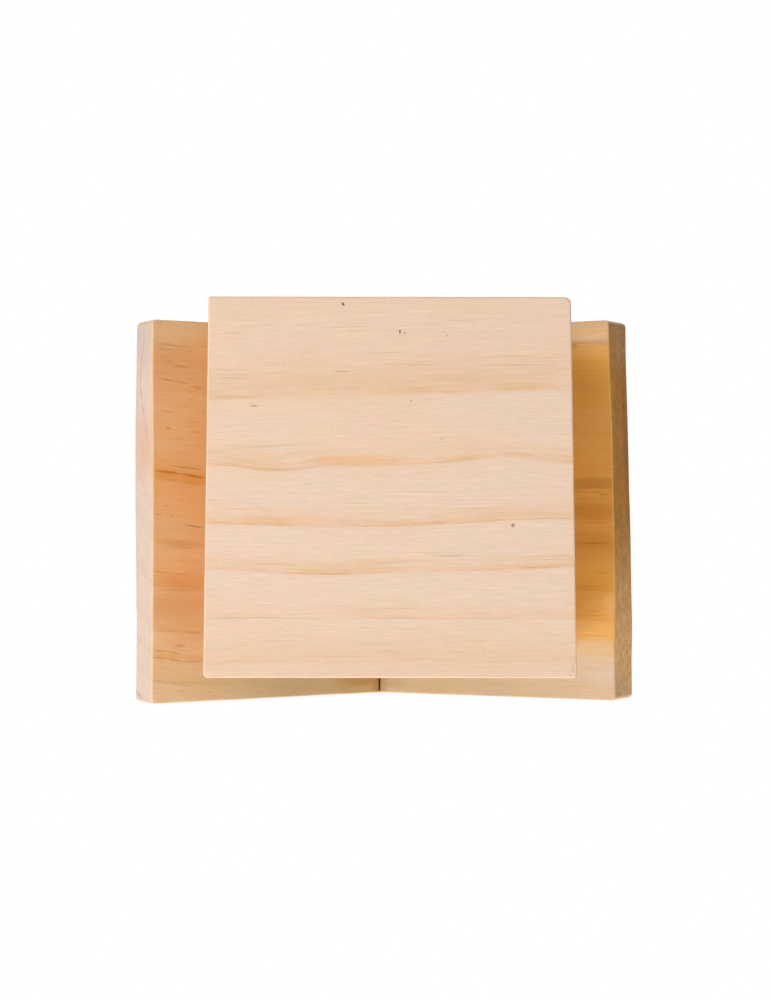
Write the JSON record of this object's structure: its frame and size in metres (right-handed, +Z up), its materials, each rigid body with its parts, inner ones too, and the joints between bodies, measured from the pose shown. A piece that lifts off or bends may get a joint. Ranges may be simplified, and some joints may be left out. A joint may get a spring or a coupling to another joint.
{
  "type": "bee hotel",
  "caption": "Gabled pine house on a square floor board, open at the front and packed with hollow bamboo canes, with a keyhole plate let into its back.",
  "frame": {"origin": "middle of the floor board's underside, on the surface that the house stands on", "axes": "+Z up, -Y out of the open front, +Y into the wall that it hangs on, +X to the right seen from the front"},
  "size_m": [0.2312, 0.1755, 0.182],
  "materials": {
    "pine": "planed and sanded, unfinished",
    "roof_pine": "planed and sanded, unfinished, warmer heartwood",
    "bamboo": "dried cane with its smooth skin, sawn ends",
    "beech": "turned dowel",
    "zinc_steel": "zinc plated"
  },
  "bodies": {
    "root": {"back_panel": "pine", "dowel_left_back": "beech", "dowel_left_front": "beech", "dowel_right_back": "beech", "dowel_right_front": "beech", "floor_board": "pine", "hanger_plate": "zinc_steel", "hanger_screw_high": "zinc_steel", "hanger_screw_low": "zinc_steel", "nest_cane_01": "bamboo", "nest_cane_02": "bamboo", "nest_cane_03": "bamboo", "nest_cane_04": "bamboo", "nest_cane_05": "bamboo", "nest_cane_06": "bamboo", "nest_cane_07": "bamboo", "nest_cane_08": "bamboo", "nest_cane_09": "bamboo", "nest_cane_10": "bamboo", "nest_cane_11": "bamboo", "nest_cane_12": "bamboo", "nest_cane_13": "bamboo", "nest_cane_14": "bamboo", "nest_cane_15": "bamboo", "nest_cane_16": "bamboo", "nest_cane_17": "bamboo", "nest_cane_18": "bamboo", "nest_cane_19": "bamboo", "nest_cane_20": "bamboo", "nest_cane_21": "bamboo", "nest_cane_22": "bamboo", "nest_cane_23": "bamboo", "nest_cane_24": "bamboo", "nest_cane_25": "bamboo", "nest_cane_26": "bamboo", "nest_cane_27": "bamboo", "nest_cane_28": "bamboo", "nest_cane_29": "bamboo", "roof_board_left": "roof_pine", "roof_board_right": "roof_pine", "roof_screw_left_back": "zinc_steel", "roof_screw_left_front": "zinc_steel", "roof_screw_left_panel": "zinc_steel", "roof_screw_right_back": "zinc_steel", "roof_screw_right_front": "zinc_steel", "roof_screw_right_panel": "zinc_steel", "side_wall_left": "pine", "side_wall_right": "pine", "wall_screw_left_high": "zinc_steel", "wall_screw_left_low": "zinc_steel", "wall_screw_right_high": "zinc_steel", "wall_screw_right_low": "zinc_steel"}
  },
  "joints": []
}
